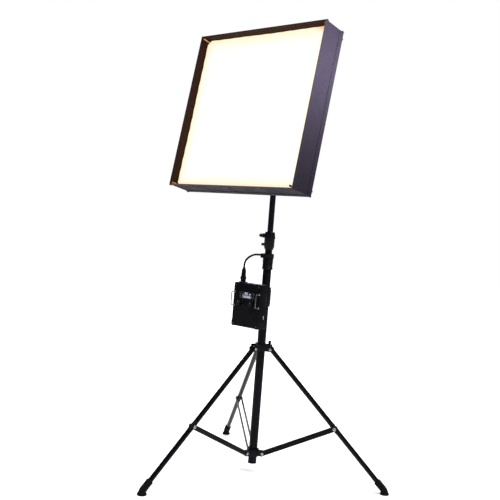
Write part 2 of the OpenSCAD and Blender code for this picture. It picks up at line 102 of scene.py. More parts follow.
def make_camera():
    """The photograph's viewing angle: from the softbox's right front, slightly below its middle, rolled."""
    azimuth, drop, roll = 41.13, 1.88, 4.46
    data = bpy.data.cameras.new("camera")
    data.sensor_width = 36
    data.lens = 56
    data.clip_end = 60
    camera = bpy.data.objects.new("camera", data)
    bpy.context.scene.collection.objects.link(camera)
    aim = turned(azimuth, "Z") @ turned(90 - drop, "X") @ turned(roll, "Z")
    camera.matrix_world = shifted(2.047, -2.461, 1.021) @ aim
    bpy.context.scene.camera = camera


make_camera()

# ---- Mesh helpers ----


def place(name, bm, materials, body, angle=35):
    """Turns a bmesh into a smooth-shaded piece that rides on a body."""
    bmesh.ops.recalc_face_normals(bm, faces=bm.faces)
    mesh = bpy.data.meshes.new(name)
    bm.to_mesh(mesh)
    bm.free()
    for material in materials:
        mesh.materials.append(material)
    mesh.shade_smooth()
    mesh.set_sharp_from_angle(angle=math.radians(angle))
    piece = bpy.data.objects.new(name, mesh)
    bpy.context.scene.collection.objects.link(piece)
    if body:
        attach(piece, body)
    return piece


def frames_along(path, closed=False):
    """Parallel-transported frames (point, side, up) along a path."""
    count = len(path)
    tangents = []
    for i in range(count):
        ahead = path[(i + 1) % count] if closed else path[min(i + 1, count - 1)]
        behind = path[i - 1] if closed or i else path[0]
        tangents.append((ahead - behind).normalized())
    side = tangents[0].orthogonal().normalized()
    result = []
    for i, tangent in enumerate(tangents):
        if i:
            side = (side - tangent * side.dot(tangent)).normalized()
        result.append((path[i], side, tangent.cross(side)))
    return result


def bridge(bm, near, far):
    """The faces between two rings with the same number of points."""
    for k in range(len(near)):
        m = (k + 1) % len(near)
        bm.faces.new((near[k], near[m], far[m], far[k]))


def sweep(bm, path, radius, sides, closed=False):
    """A round tube along a path."""
    angles = [2 * math.pi * k / sides for k in range(sides)]
    rings = [
        [bm.verts.new(point + radius * (math.cos(a) * side + math.sin(a) * up)) for a in angles]
        for point, side, up in frames_along([Vector(p) for p in path], closed)
    ]
    for i in range(len(rings) if closed else len(rings) - 1):
        bridge(bm, rings[i], rings[(i + 1) % len(rings)])
    if not closed:
        bm.faces.new(rings[0])
        bm.faces.new(rings[-1])


def lathe(bm, profile, matrix, sides=40, wave=None):
    """Revolves (radius, height) points about the matrix's Z axis. wave(angle, i) scales a radius."""
    rings = []
    for i, (radius, height) in enumerate(profile):
        if radius < 1e-6:
            rings.append([bm.verts.new(matrix @ Vector((0, 0, height)))])
            continue
        ring = []
        for k in range(sides):
            angle = 2 * math.pi * k / sides
            r = radius * (wave(angle, i) if wave else 1)
            ring.append(bm.verts.new(matrix @ Vector((r * math.cos(angle), r * math.sin(angle), height))))
        rings.append(ring)
    for near, far in zip(rings, rings[1:]):
        for k in range(sides):
            a, b = near[k % len(near)], near[(k + 1) % len(near)]
            c, d = far[(k + 1) % len(far)], far[k % len(far)]
            corners = list(dict.fromkeys((a, b, c, d)))
            if len(corners) > 2:
                bm.faces.new(corners)
    for ring in (rings[0], rings[-1]):
        if len(ring) > 1:
            bm.faces.new(ring)


def fluting(count, depth, rows):
    """A wave for lathe: flutes as deep as a share of the radius, on the profile's points in rows."""
    return lambda angle, i: 1 - depth * (0.5 + 0.5 * math.cos(count * angle)) * (i in rows)


def block(bm, low, high, matrix=Matrix.Identity(4), bevel=0, segments=2):
    """A box between two corners, with its edges rounded."""
    low, high = Vector(low), Vector(high)
    size = high - low
    centre = (low + high) / 2
    shape = matrix @ Matrix.Translation(centre) @ Matrix.Diagonal((*size, 1))
    made = bmesh.ops.create_cube(bm, size=1, matrix=shape)["verts"]
    if bevel:
        edges = list({edge for vert in made for edge in vert.link_edges})
        bmesh.ops.bevel(bm, geom=edges, offset=bevel, segments=segments, profile=0.6, affect="EDGES")


def pointing(origin, direction):
    """A matrix at origin whose Z axis points along direction."""
    return Matrix.Translation(origin) @ Vector(direction).to_track_quat("Z", "Y").to_matrix().to_4x4()


def softened(node, width, material):
    """A copy of a CAD node with its sharp edges rounded off, shown in the node's place."""
    bm = bmesh.new()
    bm.from_mesh(frame["nodes"][node].data)
    bmesh.ops.remove_doubles(bm, verts=bm.verts, dist=2e-6)
    bmesh.ops.dissolve_limit(bm, angle_limit=math.radians(0.3), verts=bm.verts, edges=bm.edges)
    limit = math.radians(28)
    sharp = [e for e in bm.edges if len(e.link_faces) == 2 and e.calc_face_angle(0) > limit]
    bmesh.ops.bevel(bm, geom=sharp, offset=width, segments=2, profile=0.6, affect="EDGES", clamp_overlap=True)
    piece = place(node + "_body", bm, [material], BODY[node])
    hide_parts(node)


# ---- Material helpers ----


class Shader:
    """A Principled material with its texture coordinates ready."""

    def __init__(self, name, color, roughness, **sockets):
        self.material = bpy.data.materials.new(name)
        self.material.use_nodes = True
        self.tree = self.material.node_tree
        self.bsdf = self.tree.nodes["Principled BSDF"]
        self.color = (*color, 1)
        self.set("Base Color", self.color)
        self.set("Roughness", roughness)
        for socket, value in sockets.items():
            self.set(socket.replace("_", " "), value)
        self.coords = self.node("ShaderNodeTexCoord")
        self.height = None

    def node(self, kind, **settings):
        made = self.tree.nodes.new(kind)
        for key, value in settings.items():
            setattr(made, key, value)
        return made

    def link(self, source, target):
        self.tree.links.new(source, target)

    def feed(self, value, socket):
        """Gives a socket a number, a colour or another node's output."""
        if isinstance(value, tuple):
            socket.default_value = (*value, 1)[:4]
        elif isinstance(value, (int, float)):
            socket.default_value = value
        else:
            self.link(value, socket)

    def set(self, socket, value):
        self.feed(value, self.bsdf.inputs[socket])

    def math(self, operation, a, b=0.0):
        made = self.node("ShaderNodeMath", operation=operation)
        self.feed(a, made.inputs[0])
        self.feed(b, made.inputs[1])
        return made.outputs[0]

    def split(self, vector):
        """The X, Y and Z of a vector."""
        made = self.node("ShaderNodeSeparateXYZ")
        self.link(vector, made.inputs[0])
        return made.outputs[:]

    def threads(self, pitch):
        """The UV map's X and Y, and along each a sine wave as long as the threads' pitch."""
        x, y, _ = self.split(self.coords.outputs["UV"])
        turns = 2 * math.pi / pitch
        return (x, y, *(self.math("SINE", self.math("MULTIPLY", axis, turns)) for axis in (x, y)))

    def noise(self, scale, detail=3, stretch=(1, 1, 1), space="Object"):
        mapping = self.node("ShaderNodeMapping")
        mapping.inputs["Scale"].default_value = stretch
        self.link(self.coords.outputs[space], mapping.inputs["Vector"])
        texture = self.node("ShaderNodeTexNoise")
        texture.inputs["Scale"].default_value = scale
        texture.inputs["Detail"].default_value = detail
        self.link(mapping.outputs[0], texture.inputs["Vector"])
        return texture.outputs["Fac"]

    def ramp(self, value, low, high, start=0.35, end=0.65):
        """Maps a value between two greys."""
        made = self.node("ShaderNodeMapRange")
        self.link(value, made.inputs["Value"])
        for key, number in zip(("From Min", "From Max", "To Min", "To Max"), (start, end, low, high)):
            made.inputs[key].default_value = number
        return made.outputs[0]

    def mix(self, factor, a, b):
        made = self.node("ShaderNodeMix", data_type="RGBA")
        self.link(factor, made.inputs["Factor"])
        self.feed(a, made.inputs[6])
        self.feed(b, made.inputs[7])
        return made.outputs[2]

    def bump(self, height, strength, distance):
        made = self.node("ShaderNodeBump")
        made.inputs["Strength"].default_value = strength
        made.inputs["Distance"].default_value = distance
        self.link(height, made.inputs["Height"])
        if self.height:
            self.link(self.height, made.inputs["Normal"])
        self.height = made.outputs[0]
        self.set("Normal", self.height)

    def vary_roughness(self, value, low, high):
        self.set("Roughness", self.ramp(value, low, high))

    def vary_color(self, value, other):
        self.set("Base Color", self.mix(self.ramp(value, 0, 1), self.color, other))

    def emit(self, color, strength):
        self.set("Emission Color", color)
        self.set("Emission Strength", strength)


def powder_coat(name, color, scale=700, shine=0.06, smooth=0.28):
    """Black powder coat: a fine orange peel, with dust and rubbed patches."""
    s = Shader(name, color, 0.36, Specular_IOR_Level=shine)
    s.vary_roughness(s.noise(18, 4, (1, 1, 0.3)), smooth, smooth + 0.18)
    s.vary_color(s.noise(60, 5), tuple(c * 1.8 + 0.0015 for c in color))
    s.bump(s.noise(scale, 2), 0.25, 0.0002)
    return s.material


def moulded(name, color, roughness=0.42, grain=1400, shine=0.1):
    """Moulded plastic: an even, fine spark-eroded grain."""
    s = Shader(name, color, roughness, Specular_IOR_Level=shine)
    s.vary_roughness(s.noise(35, 3), roughness - 0.07, roughness + 0.1)
    s.vary_color(s.noise(90, 4), tuple(c * 1.6 + 0.001 for c in color))
    s.bump(s.noise(grain, 1), 0.3, 0.00015)
    return s.material


def case_painted_lighter_on_top(name, color, painted_top_color):
    """Moulded plastic, painted lighter on whatever faces up: painted light from above, in uneven patches."""
    s = Shader(name, color, 0.5, Specular_IOR_Level=0.05)
    # Painted light: upward faces blend towards a lighter colour, as if lit from above
    upward = s.split(s.node("ShaderNodeNewGeometry").outputs["Normal"])[2]
    patches = s.math("MULTIPLY", s.math("SUBTRACT", s.noise(120, 4), 0.5), 0.3)
    painted_top_share = s.ramp(s.math("ADD", upward, patches), 0, 1, 0.25, 0.8)
    s.set("Base Color", s.mix(painted_top_share, s.color, painted_top_color))
    s.vary_roughness(s.noise(35, 3), 0.42, 0.62)
    s.bump(s.noise(900, 1), 0.3, 0.00015)
    return s.material


def rubber(name, color):
    """Matt rubber with a faint bloom."""
    s = Shader(name, color, 0.7, Specular_IOR_Level=0.08)
    s.vary_roughness(s.noise(40, 4), 0.58, 0.8)
    s.vary_color(s.noise(140, 5), tuple(c * 2.0 + 0.002 for c in color))
    s.bump(s.noise(900, 3), 0.35, 0.0002)
    return s.material


def bare_metal(name, color, roughness=0.28, stretch=(1, 1, 1)):
    """Plated or turned steel with fine tool lines."""
    s = Shader(name, color, roughness, Metallic=1.0)
    s.vary_roughness(s.noise(300, 4, stretch), roughness - 0.1, roughness + 0.14)
    s.vary_color(s.noise(90, 3), tuple(c * 0.78 for c in color))
    s.bump(s.noise(1500, 2, stretch), 0.12, 0.0001)
    return s.material


def weave(name, color, thread, roughness, sheen=0, depth=0.6, glow=None):
    """Woven cloth, by the piece's own UV map in metres: two crossing threads with slubs."""
    s = Shader(name, color, roughness, Sheen_Weight=sheen, Sheen_Roughness=0.4, Specular_IOR_Level=0.04)
    _, _, warp, weft = s.threads(thread)
    raised = s.math("ADD", s.math("ABSOLUTE", warp), s.math("ABSOLUTE", weft))
    crossings = s.math("MULTIPLY", s.math("MULTIPLY", warp, weft), 0.6)
    slubs = s.noise(160, 4)
    s.vary_color(slubs, tuple(c * 1.5 for c in color))
    s.vary_roughness(s.noise(22, 3), roughness - 0.08, roughness + 0.1)
    s.bump(s.math("ADD", raised, crossings), depth, 0.00018)
    s.bump(s.noise(55, 4), 0.2, 0.0012)
    # Painted glow: an emission that stands in for light showing through the cloth
    if glow:
        s.emit(s.mix(slubs, glow, tuple(0.7 * c for c in glow)), 1.0)
    return s.material


TUBE = powder_coat("tube_powder_coat", (0.0022, 0.0018, 0.0034))
LEG_COAT = powder_coat("leg_gloss_coat", (0.0018, 0.0015, 0.0024), 700, 0.1, 0.1)
STRAP_STEEL = powder_coat("strap_powder_coat", (0.0024, 0.0021, 0.0036), 900)
COLLAR = moulded("collar_plastic", (0.0016, 0.0014, 0.0026), 0.38)
KNOB = moulded("knob_plastic", (0.0015, 0.0013, 0.002), 0.5, 1100)
HEAD_METAL = powder_coat("head_anodised", (0.0055, 0.0052, 0.0065), 1200)
RUBBER = rubber("foot_rubber", (0.002, 0.0018, 0.0024))
JACKET = rubber("cable_jacket", (0.0016, 0.0014, 0.002))
STEEL = bare_metal("zinc_steel", (0.36, 0.36, 0.38))
TURNED = bare_metal("turned_steel", (0.55, 0.55, 0.57), 0.24, (0.05, 0.05, 1))
WIRE = bare_metal("handle_wire", (0.11, 0.11, 0.12), 0.34)
CASE = case_painted_lighter_on_top("case_plastic", (0.0016, 0.0014, 0.0024), (0.06, 0.054, 0.082))
PANEL = powder_coat("panel_coat", (0.001, 0.0009, 0.0018), 1500, 0.04)
SCREW = bare_metal("black_screw", (0.05, 0.05, 0.055), 0.4)
BUTTON = moulded("button_rubber", (0.012, 0.011, 0.014), 0.55)
WALL = weave("wall_nylon", (0.013, 0.0105, 0.016), 0.0012, 0.62)
LINING = weave("wall_lining", (0.029, 0.0112, 0.0058), 0.0012, 0.8)
BINDING = weave("edge_binding", (0.012, 0.01, 0.014), 0.0008, 0.7, 0.05)
# The binding with a painted warm glow and a lighter warm colour: painted light, standing in for the
# diffuser's light showing through it
PAINTED_GLOW_EDGE = weave("painted_glow_edge", (0.06, 0.025, 0.01), 0.0008, 0.7, glow=(0.3, 0.105, 0.028))
MAT_CLOTH = weave("mat_cloth", (0.01, 0.01, 0.012), 0.0016, 0.8, 0.1)
STRAP = weave("strap_webbing", (0.006, 0.006, 0.007), 0.0009, 0.85, 0.1, 0.9)
ROD = moulded("fibreglass_rod", (0.6, 0.24, 0.08), 0.4, 500, 0.2)
THREAD = rubber("thread", (0.018, 0.016, 0.022))
PRINT = moulded("panel_print", (0.2, 0.2, 0.22), 0.6, 900)
MARK = moulded("switch_print", (0.55, 0.55, 0.58), 0.5, 900)


# ---- Cords ----

# The routes of part.scad, in metres
ARC_ROUTE = [
    (-0.045, -0.093, 0.846), (-0.045, -0.093, 0.853), (-0.045, -0.092, 0.861),
    (-0.044, -0.09, 0.869), (-0.043, -0.086, 0.876), (-0.041, -0.081, 0.882),
    (-0.039, -0.076, 0.887), (-0.037, -0.07, 0.891), (-0.035, -0.064, 0.894),
    (-0.033, -0.057, 0.897), (-0.031, -0.05, 0.899), (-0.029, -0.043, 0.9),
    (-0.027, -0.035, 0.9), (-0.024, -0.027, 0.9), (-0.021, -0.019, 0.899),
]
SLACK_ROUTE = [
    (-0.0164, 0.0195, 1.394), (-0.018, 0.022, 1.4), (-0.0205, 0.0225, 1.408),
    (-0.023, 0.021, 1.417), (-0.026, 0.016, 1.426), (-0.0285, 0.009, 1.433),
    (-0.03, 0.001, 1.438), (-0.031, -0.008, 1.441), (-0.0315, -0.018, 1.4423),
    (-0.0315, -0.028, 1.4427), (-0.031, -0.038, 1.4426), (-0.0302, -0.047, 1.4427),
    (-0.0292, -0.056, 1.4434), (-0.0284, -0.065, 1.4448), (-0.028, -0.0737, 1.4464),
]


def smooth_path(points, steps=4):
    """A Catmull-Rom curve through the points."""
    points = [Vector(p) for p in points]
    ends = [2 * points[0] - points[1], *points, 2 * points[-1] - points[-2]]
    path = []
    for i in range(1, len(ends) - 2):
        a, b, c, d = ends[i - 1:i + 3]
        for k in range(steps):
            t = k / steps
            path.append(0.5 * (
                2 * b + (c - a) * t + (2 * a - 5 * b + 4 * c - d) * t * t + (3 * b - a - 3 * c + d) * t ** 3
            ))
    return [*path, points[-1]]


def make_plug():
    """The locking plug: a fluted ring, a smooth barrel and a ribbed strain relief."""
    bm = bmesh.new()
    x, y, _ = ARC_ROUTE[0]
    base = shifted(x, y, corners("cable_plug")[0].z)
    lathe(bm, [(0, 0), (0.0105, 0), (0.011, 0.0008), (0.011, 0.0085)], base)
    lathe(bm, [(0.0112, 0.009), (0.0124, 0.0102), (0.0126, 0.0113), (0.0126, 0.0197),
               (0.0124, 0.0208), (0.0104, 0.0222)], base, 144, fluting(24, 0.035, range(1, 5)))
    lathe(bm, [(0.0099, 0.0225), (0.0096, 0.024), (0.0092, 0.0465), (0.0088, 0.0485),
               (0.0078, 0.0492)], base)
    relief = []
    for i in range(4):
        foot = 0.0492 + i * 0.0024
        r = 0.0076 - i * 0.0006
        relief += [(r, foot), (r, foot + 0.0014), (r - 0.0012, foot + 0.0016), (r - 0.0013, foot + 0.0023)]
    relief += [(0.005, 0.059), (0, 0.059)]
    lathe(bm, relief, base)
    plug = place("lead_plug", bm, [COLLAR], "base")
    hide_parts("cable_plug")
    return plug


def make_lead(name, path, body=None):
    """A stretch of the lead along a path."""
    bm = bmesh.new()
    sweep(bm, path, LEAD_D / 2, 16)
    return place(name, bm, [JACKET], body)


def make_cords():
    plug = make_plug()
    path = smooth_path(ARC_ROUTE)
    arc = make_lead("lead_arc", path, "base")
    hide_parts("cable_arc")
    # The clipped stretches, each with the bodies that hold its two ends, drawn straight through the CAD
    # node's box
    for node, lower, upper in (("lead_lower", "base", "middle"), ("lead_upper", "middle", "top"),
                               ("lead_yoke", "top", "yoke")):
        low, high = corners(node)
        middle = (low + high) / 2
        start, end = Vector((middle.x, middle.y, low.z)), Vector((middle.x, middle.y, high.z))
        rings = max(8, int((end.z - start.z) / 0.006))
        path = [start.lerp(end, k / rings) for k in range(rings + 1)]
        stretch = make_lead(node + "_jacket", path)
        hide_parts(node)
        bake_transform(stretch)
    slack = smooth_path(SLACK_ROUTE, 5)
    bend = make_lead("lead_head_jacket", slack)
    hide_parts("lead_head")
    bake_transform(bend)


make_cords()

# ---- Softbox ----


def on_head(x, y, z):
    return HEAD @ Vector((x, y, z))


def arch(share):
    """0 at both ends of a held edge, 1 in its middle."""
    return math.sin(math.pi * min(1, max(0, share)))


def ripple(u, v, seed):
    """Gentle hang of stretched cloth: fullest between its held edges."""
    soft = noise.noise(Vector((u * 4.0, v * 1.6, seed)))
    fine = noise.noise(Vector((u * 13.0, v * 5.0, seed + 7)))
    return arch(u) * arch(v) * (0.7 + 0.6 * soft) + 0.16 * fine * arch(v)


def wall_sag(side, u, v):
    return SAG * ripple(u, v, side * 3.1)


# Where each wall starts and ends, seen from the front: top, right, bottom, left
WALLS = [((-1, 1), (1, 1)), ((1, 1), (1, -1)), ((1, -1), (-1, -1)), ((-1, -1), (-1, 1))]


def wall_point(side, u, v, inset):
    """A point on wall `side` at u along it and v from the rim to the back."""
    (x0, z0), (x1, z1) = WALLS[side]
    half = BOX_HALF - inset
    inward = Vector((-(x0 + x1) / 2, 0, -(z0 + z1) / 2))
    x, z = x0 + (x1 - x0) * u, z0 + (z1 - z0) * u
    return Vector((x * half, FRONT_Y + DEPTH * v, z * half)) + inward * wall_sag(side, u, v)


def cloth_mesh():
    """An empty bmesh with a UV map, which is in metres."""
    bm = bmesh.new()
    bm.loops.layers.uv.new("UVMap")
    return bm


def add_face(bm, verts, coords, index=0):
    face = bm.faces.new(verts)
    face.material_index = index
    for loop, uv in zip(face.loops, coords):
        loop[bm.loops.layers.uv.active].uv = uv


def strip(i, low, high):
    """The UV corners of mesh step i round the walls, between two heights."""
    return [(i * STEP, low), ((i + 1) * STEP, low), ((i + 1) * STEP, high), (i * STEP, high)]


def make_walls():
    """The four walls as one sewn band of cloth with a brown lining."""
    deep, edge_width = 14, 0.002
    bm = cloth_mesh()
    rows = [[(side, i / ACROSS, j / deep) for j in range(deep + 1)]
            for side in range(4) for i in range(ACROSS)]
    outer, inner = (
        [[bm.verts.new(HEAD @ wall_point(*key, inset)) for key in row] for row in rows]
        for inset in (OUTSIDE_IN, LINING_IN)
    )
    step_v = DEPTH / deep
    for i in range(len(rows)):
        k = (i + 1) % len(rows)
        for j in range(deep):
            m = j + 1
            coords = strip(i, j * step_v, m * step_v)
            add_face(bm, (outer[i][j], outer[k][j], outer[k][m], outer[i][m]), coords)
            add_face(bm, (inner[i][m], inner[k][m], inner[k][j], inner[i][j]), coords[::-1], 1)
        for j in (0, deep):
            edge = outer[i][j], inner[i][j], inner[k][j], outer[k][j]
            add_face(bm, edge, strip(i, 0, edge_width))
    walls = place("softbox_walls", bm, [WALL, LINING], "head", 60)
    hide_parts("skirt")
    return walls


def band_round_walls(name, ring_at, heights, materials, material_at=lambda i, j: 0):
    """A closed band round the walls. ring_at(side, u) gives its section, heights the UV span of each face."""
    bm = cloth_mesh()
    rings = [[bm.verts.new(HEAD @ point) for point in ring_at(side, i / ACROSS)]
             for side in range(4) for i in range(ACROSS)]
    for i, ring in enumerate(rings):
        after = rings[(i + 1) % len(rings)]
        for j, (low, high) in enumerate(heights):
            m = (j + 1) % len(ring)
            verts = ring[j], after[j], after[m], ring[m]
            add_face(bm, verts, strip(i, low, high), material_at(i, j))
    return place(name, bm, materials, "head", 50)


def make_back_band():
    """A flat band sewn on the outside of the walls, along their back edge."""
    v0, v1, lift, thick = 0.8, 0.995, 0.0009, 0.0012
    section = [(v0, -lift), (v1, -lift), (v1, thick - lift), (v0, thick - lift)]

    def ring_at(side, u):
        return [wall_point(side, u, v, inset) for v, inset in section]

    return band_round_walls("back_band", ring_at, [(0, (v1 - v0) * DEPTH), (0, thick)] * 2, [WALL])


def add_stitch(bm, start, end, out, width=0.0005):
    """One short stitch lying on the cloth."""
    along = (end - start).normalized()
    across = along.cross(out).normalized()
    matrix = Matrix((along, across, out)).transposed().to_4x4()
    matrix.translation = (start + end) / 2
    size = (end - start).length / 2
    block(bm, (-size, -width, -0.0002), (size, width, 0.0005), matrix)


def make_stitches():
    """Rows of stitches along the rim's binding and the back band."""
    bm = bmesh.new()
    pitch, gap, lift = 0.008, 0.003, 0.0001
    count = int(2 * BOX_HALF / pitch)
    for side in range(4):
        (x0, z0), (x1, z1) = WALLS[side]
        out = (HEAD.to_3x3() @ Vector(((x0 + x1) / 2, 0, (z0 + z1) / 2))).normalized()
        for v in (0.105, 0.86):
            for i in range(1, count - 1):
                a, b = (HEAD @ wall_point(side, at / count, v, -lift) for at in (i, i + (1 - gap / pitch)))
                add_stitch(bm, a, b, out)
    return place("wall_stitches", bm, [THREAD], "head")


def make_corner_seams():
    """Piped seams down the four depth edges of the walls."""
    bm = bmesh.new()
    at, pipe_r, steps = BOX_HALF - 0.0008, 0.0017, 12
    for x, z in FOUR_CORNERS:
        path = [on_head(x * at, FRONT_Y + DEPTH * k / steps, z * at) for k in range(steps + 1)]
        sweep(bm, path, pipe_r, 10)
    return place("corner_piping", bm, [BINDING], "head")


def make_rim():
    """The folded binding round the front rim, with a painted warm glow inside along the right and the bottom
    wall.
    """
    hem, strip_width = 0.011, 0.002
    fold = [math.pi * k / 8 for k in range(9)]
    section = [(hem, -0.0006), *((-0.0014 * math.sin(a) - 0.0004, -0.0008 + 0.0026 * (1 - math.cos(a)) / 2)
                                 for a in fold), (hem, 0.0028)]

    def ring_at(side, u):
        ring = [wall_point(side, u, max(0, dy) / DEPTH, inset) for dy, inset in section]
        for point, (dy, _) in zip(ring, section):
            point.y = FRONT_Y + dy
        return ring

    def material_at(i, j):
        # The painted glow goes on the inner part of the fold along the right and the bottom wall
        return int(i // ACROSS in (1, 2) and 4 <= j < len(section) - 1)

    heights = [(j * strip_width, (j + 1) * strip_width) for j in range(len(section))]
    return band_round_walls("rim_binding", ring_at, heights, [BINDING, PAINTED_GLOW_EDGE], material_at)


def follow_walls(x, z, half, v):
    """Draws a point of a sheet in, as far as the walls at that depth sag in at its edges."""
    across, up = x / half, z / half
    sides = ((3, (1 + up) / 2), (1, (1 - up) / 2)), ((2, (1 - across) / 2), (0, (1 + across) / 2))
    moved = []
    for value, share, pair in zip((x, z), (across, up), sides):
        side, u = pair[share > 0]
        moved.append(value - share * wall_sag(side, u, v))
    return moved


def sheet_grid(name, y_front, y_back, material, shape, count=72):
    """A square sheet with cut corners, bulged along its depth by shape(u, v) in metres."""
    half, depth = MAT_HALF, (y_front - FRONT_Y) / DEPTH
    bm = cloth_mesh()
    level = HEAD.inverted()

    def column(i, y):
        x = (2 * i / count - 1) * half
        tall = min(half, 2 * half - CORNER_CUT - abs(x))
        places = (follow_walls(x, (2 * j / count - 1) * tall, half, depth) for j in range(count + 1))
        return [bm.verts.new(on_head(at_x, y + shape(i / count, j / count), at_z))
                for j, (at_x, at_z) in enumerate(places)]

    def add(*verts):
        flat = [level @ vert.co for vert in verts]
        add_face(bm, verts, [(point.x + half, point.z + half) for point in flat])

    front, back = ([column(i, y) for i in range(count + 1)] for y in (y_front, y_back))
    for i in range(count):
        for j in range(count):
            add(front[i][j], front[i + 1][j], front[i + 1][j + 1], front[i][j + 1])
            add(back[i][j + 1], back[i + 1][j + 1], back[i + 1][j], back[i][j])
    for i in range(count):
        for edge in (0, count):
            add(front[i][edge], back[i][edge], back[i + 1][edge], front[i + 1][edge])
            add(front[edge][i], back[edge][i], back[edge][i + 1], front[edge][i + 1])
    return place(name, bm, [material], "head", 50)


GLOW_STRENGTH = 0.92


def glow_material():
    """The lit diffuser: white in the middle, cream towards its edges and amber in its upper right corner."""
    s = Shader("lit_diffuser", (0.3, 0.29, 0.27), 0.8, Specular_IOR_Level=0.2)
    x, y, warp, weft = s.threads(0.0016)
    full = 2 * MAT_HALF
    to_right, to_top = s.math("SUBTRACT", full, x), s.math("SUBTRACT", full, y)
    edge = s.math("MINIMUM", s.math("MINIMUM", x, to_right), s.math("MINIMUM", y, to_top))
    corner = s.math("ADD", s.math("MULTIPLY", to_right, 0.4), to_top)
    cloud = s.math("MULTIPLY", s.math("SUBTRACT", s.noise(7, 3), 0.5), 0.02)
    edge_share = s.ramp(s.math("ADD", edge, cloud), 1, 0, 0, 0.065)
    corner_share = s.ramp(s.math("ADD", corner, cloud), 1, 0, 0.016, 0.034)
    cream = s.mix(edge_share, (1.0, 0.99, 0.96), (0.98, 0.86, 0.58))
    s.emit(s.mix(corner_share, cream, (0.95, 0.42, 0.12)), GLOW_STRENGTH)
    s.bump(s.math("MULTIPLY", warp, weft), 0.3, 0.0001)
    return s.material


GLOW = glow_material()


def diffuser_shape(u, v):
    """Slack of the diffuser: it bellies forward a little and puckers at its sewn edge."""
    belly = arch(u) * arch(v)
    edge = min(u, 1 - u, v, 1 - v)
    pucker = 0.0007 * math.sin(70 * (u + v)) * math.exp(-edge * 40)
    folds = 0.0012 * noise.noise(Vector((u * 3, v * 3, 2.0))) * belly
    return -0.004 * belly + pucker + folds


def mat_shape(u, v):
    """The light mat's back: a grid of shallow cells where the strips of lights are sewn in."""
    cells = 12
    seam = min(abs(math.sin(math.pi * cells * u)), abs(math.sin(math.pi * cells * v)))
    return -0.0006 * (1 - min(1, seam * 3))


def make_softbox():
    """The walls with what is sewn to them, the diffuser and the light mat's back."""
    walls = make_walls()
    rim = make_rim()
    band = make_back_band()
    stitches = make_stitches()
    piping = make_corner_seams()
    diffuser = sheet_grid("diffuser_cloth", DIFFUSER_Y, DIFFUSER_Y + 0.0012, GLOW, diffuser_shape)
    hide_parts("diffuser")
    mat = sheet_grid("light_mat_back", BACK_Y - 0.005, BACK_Y - 0.0005, MAT_CLOTH, mat_shape, 96)
    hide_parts("light_mat")


make_softbox()


def make_back():
    """Spring arms, corner pockets and the hub with its screws, on the back of the softbox."""
    reach = math.sqrt(2) * ROD_AT
    back = HEAD @ shifted(0, BACK_Y, 0)
    face_back = turned(-90, "X")
    arms, pockets, fasteners = bmesh.new(), bmesh.new(), bmesh.new()
    for k in range(4):
        arm = back @ turned(45 + 90 * k, "Y")
        block(arms, (0.034, 0.0005, -0.007), (reach - 0.009, 0.006, 0.007), arm, 0.0015, 3)
        block(arms, (0.036, 0.006, -0.0085), (0.075, 0.0105, 0.0085), arm, 0.0015, 3)
        block(pockets, (reach - 0.042, 0.0002, -0.015), (reach - 0.005, 0.01, 0.015), arm, 0.004, 4)
        for x in (0.052, 0.067):
            lathe(fasteners, [(0, -0.001), (0.0034, -0.001), (0.0034, 0.0006), (0.0022, 0.0018),
                              (0, 0.0021)], arm @ shifted(x, 0.0105, 0) @ face_back, 20)
    arms = place("spring_arms", arms, [STRAP_STEEL], "head")
    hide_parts("cross_arms")
    place("corner_pockets", pockets, [STRAP], "head")
    hub = bmesh.new()
    lathe(hub, [(0, 0.001), (0.033, 0.001), (0.033, 0.006), (0.0435, 0.006), (0.045, 0.0075),
                (0.045, 0.014), (0.0435, 0.0155), (0.038, 0.0175), (0.0365, 0.0212), (0.0355, 0.022),
                (0, 0.022)], back @ face_back, 72)
    block(hub, (-0.034, 0.02, -0.0065), (-0.0225, 0.032, 0.0065), back, 0.0015)
    hub = place("hub_casting", hub, [HEAD_METAL], "head")
    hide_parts("cross_hub")
    # Screws on the hub's face, clear of the tilt bracket
    circle_r, screw_r = 0.029, 0.0034
    for a in map(math.radians, (30, 90, 270, 330)):
        at = shifted(circle_r * math.cos(a), 0.022, circle_r * math.sin(a))
        socket_screw(fasteners, back @ at @ face_back, screw_r)
    place("hub_fasteners", fasteners, [SCREW], "head")


def make_corner_trim():
    """Rubber caps on the rods' tips, and short webbing tabs sewn into the walls' corners."""
    caps, tabs = bmesh.new(), bmesh.new()
    for x, z in FOUR_CORNERS:
        tip = HEAD @ shifted(x * ROD_AT, FRONT_Y, z * ROD_AT) @ turned(90, "X")
        lathe(caps, [(0.0035, -0.002), (0.0039, -0.001), (0.0039, 0.004), (0.0034, 0.0063),
                     (0.0018, 0.0076), (0, 0.008)], tip, 24)
        for y in (FRONT_Y + 0.001, BACK_Y - 0.013):
            at = HEAD @ shifted(x * BOX_HALF, y, z * BOX_HALF) @ Matrix.Rotation(-math.atan2(z, x), 4, "Y")
            block(tabs, (-0.003, 0, -0.0016), (0.004, 0.012, 0.0016), at, 0.0011, 3)
    place("rod_caps", caps, [RUBBER], "head")
    place("corner_tabs", tabs, [STRAP], "head")


def socket_screw(bm, matrix, r):
    """A cap screw with a hexagon socket."""
    lathe(bm, [(r, -0.0005), (r, r * 0.75), (r * 0.9, r * 0.95), (r * 0.55, r * 0.95)], matrix, 24)
    lathe(bm, [(r * 0.56, r * 0.93), (r * 0.5, r * 0.3), (0, r * 0.3)], matrix, 6)


make_back()
make_corner_trim()
softened("corner_rods", 0.0004, ROD)
softened("tilt_bracket", 0.0012, HEAD_METAL)
softened("receiver", 0.001, HEAD_METAL)

# ---- Column and tripod ----


def circle(centre, r, steps):
    """A level circle of points."""
    angles = (2 * math.pi * k / steps for k in range(steps))
    return [Vector(centre) + Vector((r * math.cos(a), r * math.sin(a), 0)) for a in angles]


